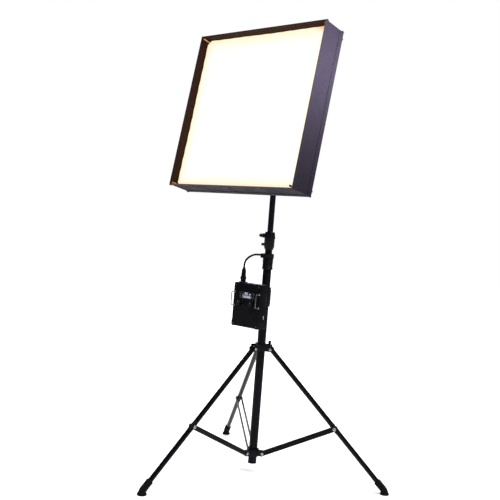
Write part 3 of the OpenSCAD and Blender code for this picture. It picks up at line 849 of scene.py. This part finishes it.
def make_rings():
    """Grip ribs round both lock collars."""
    rib_at, rib_r = 0.0211, 0.0007
    for node, heights in (("lower_collar", (0.852, 0.858, 0.876, 0.882)), ("upper_collar", (0.9585, 0.9625))):
        bm = bmesh.new()
        for z in heights:
            sweep(bm, circle((0, 0, z), rib_at, 64), rib_r, 8, closed=True)
        place(node + "_ribs", bm, [COLLAR], BODY[node])


def make_column():
    for node, width, material in (
        ("lower_tube", 0.0004, TUBE), ("mid_tube", 0.0004, TUBE), ("top_tube", 0.0004, TUBE),
        ("lower_collar", 0.0008, COLLAR), ("upper_collar", 0.0008, COLLAR),
        ("leg_collar", 0.0012, COLLAR), ("brace_hub", 0.0012, COLLAR),
        ("column_plug", 0.001, RUBBER), ("spigot", 0.0006, TURNED),
        ("cable_strap", 0.0006, STRAP), ("top_tie", 0.0006, STRAP),
        ("clamp_jaw", 0.001, HEAD_METAL), ("clamp_cap", 0.001, HEAD_METAL),
    ):
        softened(node, width, material)
    make_rings()
    # The bright clamp bolt on the upper collar, opposite its wing screw
    bm = bmesh.new()
    away = turned(41, "Z") @ Vector((1, 0, 0))
    matrix = pointing(away * 0.0232 + Vector((0, 0, 0.974)), away)
    lathe(bm, [(0.0038, -0.001), (0.0038, 0.0018), (0.0032, 0.0026), (0, 0.0028)], matrix, 6)
    place("collar_bolt", bm, [STEEL], "middle")


make_column()


def leg_frame(n):
    """The plane of leg n: X outward, Y along its pivots."""
    outward = Vector(JOINT[f"leg_{n}_fold"]["pos_m"])
    return Matrix.Rotation(math.atan2(outward.y, outward.x), 4, "Z")


PIVOT_R = 0.044
COLLAR_PIVOT = Vector((PIVOT_R, 0, 0.515))
HUB_PIVOT = Vector((PIVOT_R, 0, 0.082))
LEG_UPPER = 0.408
BRACE_LENGTH = 0.325
PIVOT_RISE = COLLAR_PIVOT.z - HUB_PIVOT.z
LEG_ANGLE = math.acos((PIVOT_RISE ** 2 + LEG_UPPER ** 2 - BRACE_LENGTH ** 2) / (2 * PIVOT_RISE * LEG_UPPER))
BRACE_ANGLE = math.asin((PIVOT_RISE - LEG_UPPER * math.cos(LEG_ANGLE)) / BRACE_LENGTH)
FOOT_Z = 0.018


def rivet_head(bm, matrix, r=0.0055, tall=0.0024):
    """A domed rivet on its washer."""
    lathe(bm, [(r * 1.25, -0.0006), (r * 1.25, 0.0002), (r, 0.0003), (r * 0.94, tall * 0.45),
               (r * 0.7, tall * 0.82), (r * 0.3, tall), (0, tall)], matrix, 28)


def make_leg(n):
    matrix = leg_frame(n)
    body = f"leg_{n}_body"
    softened(f"leg_{n}", 0.0006, LEG_COAT)
    # The sleeve round the brace's pivot, along the leg's own axis from the collar's pivot
    down = matrix @ Matrix.Translation(COLLAR_PIVOT) @ Matrix.Rotation(math.pi - LEG_ANGLE, 4, "Y")
    half = 0.021
    edge = [(0.01005, half), (0.0104, half - 0.0006), (0.0105, half - 0.002)]
    profile = [(r, LEG_UPPER - z) for r, z in edge] + [(r, LEG_UPPER + z) for r, z in edge[::-1]]
    sleeve = bmesh.new()
    lathe(sleeve, profile, down, 40)
    place(f"leg_{n}_sleeve", sleeve, [COLLAR], body)
    make_foot(n, matrix, body)


def make_foot(n, matrix, body):
    """A ribbed rubber boot on a flared sole."""
    bm = bmesh.new()
    foot_r = PIVOT_R + (COLLAR_PIVOT.z - FOOT_Z) * math.tan(LEG_ANGLE)
    up_leg = matrix @ shifted(foot_r, 0, FOOT_Z) @ Matrix.Rotation(-LEG_ANGLE, 4, "Y")
    boot_r, groove_r = 0.014, 0.0131
    profile = [(0, -0.0125), (0.0095, -0.0125), (0.0118, -0.0095), (0.0132, -0.004), (boot_r, 0.003)]
    for k in range(4):
        z = 0.009 + k * 0.0072
        profile += [(boot_r, z), (groove_r, z + 0.001), (groove_r, z + 0.0022), (boot_r, z + 0.0032)]
    profile += [(boot_r, 0.0385), (0.0136, 0.0405), (0.0126, 0.0418), (0.0102, 0.042), (0.01015, 0.03)]
    lathe(bm, profile, up_leg, 44)
    lathe(bm, [(0, 0), (0.0168, 0), (0.018, 0.001), (0.018, 0.0045), (0.017, 0.0062), (0.0155, 0.009),
               (0.0128, 0.015), (0, 0.019)], matrix @ shifted(foot_r + 0.004, 0, 0), 80,
          fluting(16, 0.02, (2, 3)))
    foot = place(f"foot_{n}_boot", bm, [RUBBER], body)
    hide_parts(f"foot_{n}")


def make_brace(n):
    matrix = leg_frame(n)
    softened(f"brace_{n}", 0.0005, STRAP_STEEL)
    out = matrix @ Matrix.Translation(HUB_PIVOT) @ Matrix.Rotation(-BRACE_ANGLE, 4, "Y")
    bm = bmesh.new()
    for s in (-1, 1):
        rivet_head(bm, out @ shifted(BRACE_LENGTH, s * 0.015, 0) @ turned(-s * 90, "X"))
    place(f"brace_{n}_rivets", bm, [STEEL], f"brace_{n}_body")


def make_pins():
    """Domed heads on the pins of the leg collar and of the hub."""
    for node, pivot, reach, body in (("leg_pins", COLLAR_PIVOT, 0.0169, "leg_collar"),
                                     ("hub_pins", HUB_PIVOT, 0.0153, "base")):
        softened(node, 0.0003, STEEL)
        bm = bmesh.new()
        for n in (1, 2, 3):
            for s in (-1, 1):
                at = leg_frame(n) @ Matrix.Translation(pivot) @ shifted(0, s * reach, 0)
                rivet_head(bm, at @ turned(-s * 90, "X"), 0.0046, 0.0018)
        place(node + "_domes", bm, [STEEL], body)


for leg_number in (1, 2, 3):
    make_leg(leg_number)
    make_brace(leg_number)
make_pins()

for knob_node in ("leg_knob", "lower_knob", "upper_knob", "spigot_knob", "tilt_knob", "clamp_knob"):
    softened(knob_node, 0.0012, KNOB)

# ---- Control box ----

CASE_LOW, CASE_HIGH = corners("control_case")
OUT_OF_PANEL = (0, -1, 0)


def rounded_prism(bm, low, high, axis, corner, bevel):
    """A prism along Y or Z between two corners, with rounded corners and softened end faces."""
    low, high = Vector(low), Vector(high)
    a, b, c = (0, 2, 1) if axis == "Y" else (0, 1, 2)
    ring = []
    for sa, sb, start in ((1, 1, 0), (-1, 1, 90), (-1, -1, 180), (1, -1, 270)):
        centre_a = (high[a] if sa > 0 else low[a]) - sa * corner
        centre_b = (high[b] if sb > 0 else low[b]) - sb * corner
        for k in range(9):
            t = math.radians(start + 90 * k / 8)
            ring.append((centre_a + corner * math.cos(t), centre_b + corner * math.sin(t)))
    ends = [[bm.verts.new((u, level, v) if axis == "Y" else (u, v, level)) for u, v in ring]
            for level in (low[c], high[c])]
    bridge(bm, *ends)
    caps = [bm.faces.new(verts) for verts in ends]
    edges = list({edge for cap in caps for edge in cap.edges})
    bmesh.ops.bevel(bm, geom=edges, offset=bevel, segments=3, profile=0.6, affect="EDGES")


def make_case():
    """The housing with its parting line, cooling slots, and rubber guards on its lower corners."""
    bm = bmesh.new()
    low, high = CASE_LOW, CASE_HIGH
    rounded_prism(bm, low, high, "Z", 0.005, 0.0016)
    case = place("case_shell", bm, [CASE], "base")
    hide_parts("control_case")
    trim = bmesh.new()
    split, line, slot = low.y + 0.022, 0.0005, 0.0012
    for side in (-1, 1):
        x = side * high.x
        for k in range(9):
            z = high.z - 0.03 - k * 0.006
            block(trim, (x - 0.0006, split + 0.004, z - slot), (x + 0.0006, high.y - 0.006, z + slot),
                  bevel=0.0004)
        block(trim, (x - 0.0004, split - line, low.z + 0.001), (x + 0.0004, split + line, high.z - 0.001))
    block(trim, (low.x + 0.002, split - line, high.z - 0.0004),
          (high.x - 0.002, split + line, high.z + 0.0004))
    place("case_slots", trim, [KNOB], "base")
    guards = bmesh.new()
    proud, guard_wide, guard_tall = 0.0012, 0.018, 0.028
    for side in (-1, 1):
        a, b = sorted((side * (high.x - guard_wide), side * (high.x + proud)))
        rounded_prism(guards, (a, PANEL_Y - proud, low.z - proud), (b, high.y + 0.0008, low.z + guard_tall),
                      "Y", 0.006, 0.0012)
    place("case_guards", guards, [RUBBER], "base")


def make_panel():
    """The front plate with rounded corners and a raised frame line round it."""
    bm = bmesh.new()
    low, high = corners("control_panel")
    rounded_prism(bm, (low.x, PANEL_Y, low.z), (high.x, high.y, high.z), "Y", 0.006, 0.0009)
    panel = place("panel_plate", bm, [PANEL], "base")
    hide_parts("control_panel")
    edge = bmesh.new()
    inset, width = 0.0048, 0.0006
    x0, x1, z0, z1 = low.x + inset, high.x - inset, low.z + inset, high.z - inset
    for a, b in (((x0, z0), (x1, z0)), ((x0, z1), (x1, z1)), ((x0, z0), (x0, z1)), ((x1, z0), (x1, z1))):
        block(edge, (a[0] - width, PANEL_Y - 0.0005, a[1] - width),
              (b[0] + width, PANEL_Y + 0.0004, b[1] + width), bevel=0.0003)
    place("panel_frame", edge, [CASE], "base")


make_case()
make_panel()

# The lit segments of each figure: top, upper right, lower right, bottom, lower left, upper left, middle
SEGMENTS = {
    "0": (1, 1, 1, 1, 1, 1, 0), "1": (0, 1, 1, 0, 0, 0, 0),
    "5": (1, 0, 1, 1, 0, 1, 1), "6": (1, 0, 1, 1, 1, 1, 1),
}
FIGURE_HALF = 0.0002


def add_digit(bm, digit, x, z, wide, tall, y):
    """A seven-segment figure, drawn in the display's plane."""
    thick = wide * 0.2
    places = [(0, tall, 1), (wide, tall * 0.75, 0), (wide, tall * 0.25, 0), (0, 0, 1),
              (0, tall * 0.25, 0), (0, tall * 0.75, 0), (0, tall / 2, 1)]
    for on, (dx, dz, flat) in zip(SEGMENTS[digit], places):
        if not on:
            continue
        cx = x + (wide / 2 if flat else dx)
        cz = z + dz
        half_x, half_z = (wide / 2, thick / 2) if flat else (thick / 2, tall * 0.25)
        block(bm, (cx - half_x, y - FIGURE_HALF, cz - half_z), (cx + half_x, y + FIGURE_HALF, cz + half_z))


def make_display():
    """A dark window with two rows of figures on it, each with the mark of its unit."""
    low, high = corners("display")
    glass = Shader("display_window", (0.006, 0.007, 0.02), 0.12, Coat_Weight=0.6, Coat_Roughness=0.05)
    glass.vary_roughness(glass.noise(30, 3), 0.08, 0.2)
    bm = bmesh.new()
    block(bm, (low.x, PANEL_Y - 0.0004, low.z), (high.x, high.y, high.z), bevel=0.0008)
    window = place("display_glass", bm, [glass.material], "base")
    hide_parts("display")
    lit = Shader("display_figures", (0.6, 0.65, 0.8), 0.5)
    lit.emit((0.72, 0.78, 1.0), 0.45)
    lit.vary_color(lit.noise(400, 2), (0.5, 0.55, 0.7))
    bm = bmesh.new()
    y = PANEL_Y - 0.0005
    middle = (low.z + high.z) / 2
    for text, wide, tall, dz in (("100", 0.0048, 0.0068, 0.003), ("5600", 0.0052, 0.0062, -0.0098)):
        z = middle + dz
        for k, digit in enumerate(text):
            add_digit(bm, digit, low.x + 0.01 + k * wide * 1.55, z, wide, tall, y)
        block(bm, (high.x - 0.012, y - FIGURE_HALF, z), (high.x - 0.006, y + FIGURE_HALF, z + tall * 0.5))
    place("display_digits", bm, [lit.material], "base")


make_display()


def make_dial(node):
    """A knurled dial with a pointer line, and its printed scale on the panel."""
    low, high = corners(node)
    x, z = (low + high).xz / 2
    axis = pointing((x, PANEL_Y, z), OUT_OF_PANEL)
    bm = bmesh.new()
    lathe(bm, [(0, 0.0004), (0.0102, 0.0004), (0.011, 0.0012), (0.011, 0.004), (0.0107, 0.009),
               (0.0103, 0.0135), (0.0096, 0.015), (0.008, 0.0155), (0.0074, 0.015), (0, 0.015)],
          axis, 144, fluting(36, 0.03, range(2, 6)))
    dial = place(node + "_cap", bm, [KNOB], BODY[node])
    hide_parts(node)
    mark = bmesh.new()
    block(mark, (-0.0006, 0.003, 0.0148), (0.0006, 0.0098, 0.0157), axis, 0.0002)
    place(node + "_mark", mark, [PRINT], BODY[node])
    scale = bmesh.new()
    for k in range(11):
        tick = axis @ turned(-135 + 27 * k, "Z")
        block(scale, (-0.00025, 0.0128, -0.0001), (0.00025, 0.015 if k % 5 else 0.016, 0.00012), tick)
    place(node + "_scale", scale, [PRINT], "base")


make_dial("dial_left")
make_dial("dial_right")


def make_buttons():
    """Round push buttons, each in a printed ring."""
    ring_r, line_r = 0.0044, 0.0003
    for k in (1, 2, 3, 4):
        node = f"button_{k}"
        low, high = corners(node)
        x, z = (low + high).xz / 2
        bm = bmesh.new()
        lathe(bm, [(0, 0.0003), (0.0018, 0.0002), (0.003, 0), (0.0035, 0.0005), (0.0036, 0.0012),
                   (0.0036, 0.0052), (0, 0.0052)], pointing((x, low.y, z), (0, 1, 0)), 32)
        cap = place(node + "_cap", bm, [BUTTON], BODY[node])
        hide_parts(node)
        ring = bmesh.new()
        upright = shifted(x, PANEL_Y - 0.0001, z) @ turned(90, "X")
        sweep(ring, [upright @ point for point in circle((0, 0, 0), ring_r, 32)], line_r, 6, closed=True)
        place(node + "_ring", ring, [PRINT], "base")


make_buttons()


def make_handles():
    """Bent wire handles on turned feet, one at each side of the panel."""
    low, high = corners("control_handles")
    wire_r, half, bend = 0.0019, 0.027, 0.006
    middle = (low.z + high.z) / 2
    front = low.y + 0.002
    quarter = [math.pi / 2 * k / 6 for k in range(7)]
    wires, feet = bmesh.new(), bmesh.new()
    for x in (low.x + 0.004, high.x - 0.004):
        path = [(x, PANEL_Y + 0.002, middle + half)]
        for s, angles in ((1, quarter), (-1, quarter[::-1])):
            for a in angles:
                z = middle + s * (half - bend * (1 - math.cos(a)))
                path.append((x, front + bend * (1 - math.sin(a)), z))
        path.append((x, PANEL_Y + 0.002, middle - half))
        sweep(wires, path, wire_r, 14)
        for s in (1, -1):
            lathe(feet, [(0, 0), (0.0042, 0), (0.0042, 0.0008), (0.0034, 0.0022), (0.0026, 0.0026),
                         (0, 0.0026)], pointing((x, PANEL_Y, middle + s * half), OUT_OF_PANEL), 24)
    wires = place("handle_wires", wires, [WIRE], "base")
    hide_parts("control_handles")
    place("handle_feet", feet, [STEEL], "base")


make_handles()


def make_fittings():
    """Panel screws, the output socket, the supply inlet with its pins, and the rocker in its frame."""
    bm = bmesh.new()
    low, high = corners("case_screws")
    screw_r = 0.004
    for x in (low.x + screw_r, high.x - screw_r):
        for z in (low.z + screw_r, high.z - screw_r):
            at = pointing((x, PANEL_Y, z), OUT_OF_PANEL)
            lathe(bm, [(0, 0), (screw_r, 0), (0.0038, 0.0009), (0.0029, 0.0016), (0, 0.0017)], at, 28)
            for turn in (0, math.pi / 2):
                block(bm, (-0.0022, -0.0004, 0.0014), (0.0022, 0.0004, 0.00185),
                      at @ Matrix.Rotation(turn + 0.4, 4, "Z"))
    screws = place("panel_screws", bm, [SCREW], "base")
    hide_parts("case_screws")
    softened("output_socket", 0.0008, CASE)
    softened("power_inlet", 0.0006, SCREW)
    softened("power_switch", 0.0008, KNOB)
    bm = bmesh.new()
    inlet = Vector((-0.0615, -0.092, 0.64))
    for dy, dz in ((-0.0025, 0.002), (0.0025, 0.002), (0, -0.003)):
        lathe(bm, [(0, 0), (0.0009, 0), (0.0009, 0.006), (0.0004, 0.007), (0, 0.007)],
              pointing(inlet + Vector((0, dy, dz)), (-1, 0, 0)), 12)
    place("inlet_pins", bm, [STEEL], "base")
    bm = bmesh.new()
    pivot = Vector(JOINT["power_switch_rock"]["pos_m"])
    rock = Matrix.Translation(pivot) @ turned(-8, "Y")
    block(bm, (0.0054, -0.0012, -0.0066), (0.0058, 0.0012, 0.0066), rock, 0.0002)
    place("switch_mark", bm, [MARK], "power_switch_body")
    bm = bmesh.new()
    face, wide, tall, rim = CASE_HIGH.x, 0.0072, 0.0112, 0.0011
    for s in (-1, 1):
        for y, z, half_y, half_z in ((0, s * tall, wide + rim, rim), (s * wide, 0, rim, tall)):
            y, z = pivot.y + y, pivot.z + z
            block(bm, (face - 0.0004, y - half_y, z - half_z), (face + 0.0009, y + half_y, z + half_z),
                  bevel=0.0004)
    place("switch_frame", bm, [KNOB], "base")


make_fittings()

# ---- Floor and light ----


def make_floor():
    bm = bmesh.new()
    block(bm, (-14, -14, -0.02), (14, 14, 0))
    shader = Shader("pale_floor", (0.92, 0.92, 0.92), 0.75)
    shader.vary_color(shader.noise(2.0, 3), (0.9, 0.9, 0.9))
    shader.emit((1, 1, 1), 0.25)
    floor = place("floor", bm, [shader.material], None)


AMBIENT = 0.1


def add_light(kind, name, location, target, power, color=(1, 1, 1), size=1.0):
    data = bpy.data.lights.new(name, kind)
    if kind == "SUN":
        data.angle = size
    else:
        data.shape = "SQUARE"
        data.size = size
    data.energy = power
    data.color = color
    light = bpy.data.objects.new(name, data)
    light.visible_camera = False
    bpy.context.scene.collection.objects.link(light)
    aim = (Vector(target) - Vector(location)).to_track_quat("-Z", "Y")
    light.matrix_world = Matrix.Translation(location) @ aim.to_matrix().to_4x4()


def make_light():
    """Soft light from overhead, a small one beside the right wall and one from behind.

    The camera sees a white backdrop, which itself lights the object only a little.
    """
    world = bpy.data.worlds.new("studio")
    world.use_nodes = True
    bpy.context.scene.world = world
    tree = world.node_tree
    backdrop, ambient = tree.nodes["Background"], tree.nodes.new("ShaderNodeBackground")
    for node, color, strength in ((backdrop, (1, 1, 1, 1), 1), (ambient, (0.92, 0.95, 1, 1), AMBIENT)):
        node.inputs["Color"].default_value = color
        node.inputs["Strength"].default_value = strength
    path = tree.nodes.new("ShaderNodeLightPath")
    mix = tree.nodes.new("ShaderNodeMixShader")
    tree.links.new(path.outputs["Is Camera Ray"], mix.inputs[0])
    tree.links.new(ambient.outputs[0], mix.inputs[1])
    tree.links.new(backdrop.outputs[0], mix.inputs[2])
    tree.links.new(mix.outputs[0], tree.nodes["World Output"].inputs["Surface"])
    bpy.context.scene.view_settings.view_transform = "Standard"
    add_light("SUN", "overhead", (0.8, 0.4, 5.0), (0, 0, 0), 4.4, size=math.radians(75))
    add_light("AREA", "key", (0.64, -0.12, 1.64), (0.32, -0.12, 1.66), 10, (0.91, 0.91, 1.0), 0.2)
    add_light("AREA", "back", (-2.6, 2.2, 2.4), (0, 0, 0.7), 20, size=1.2)


make_floor()
make_light()
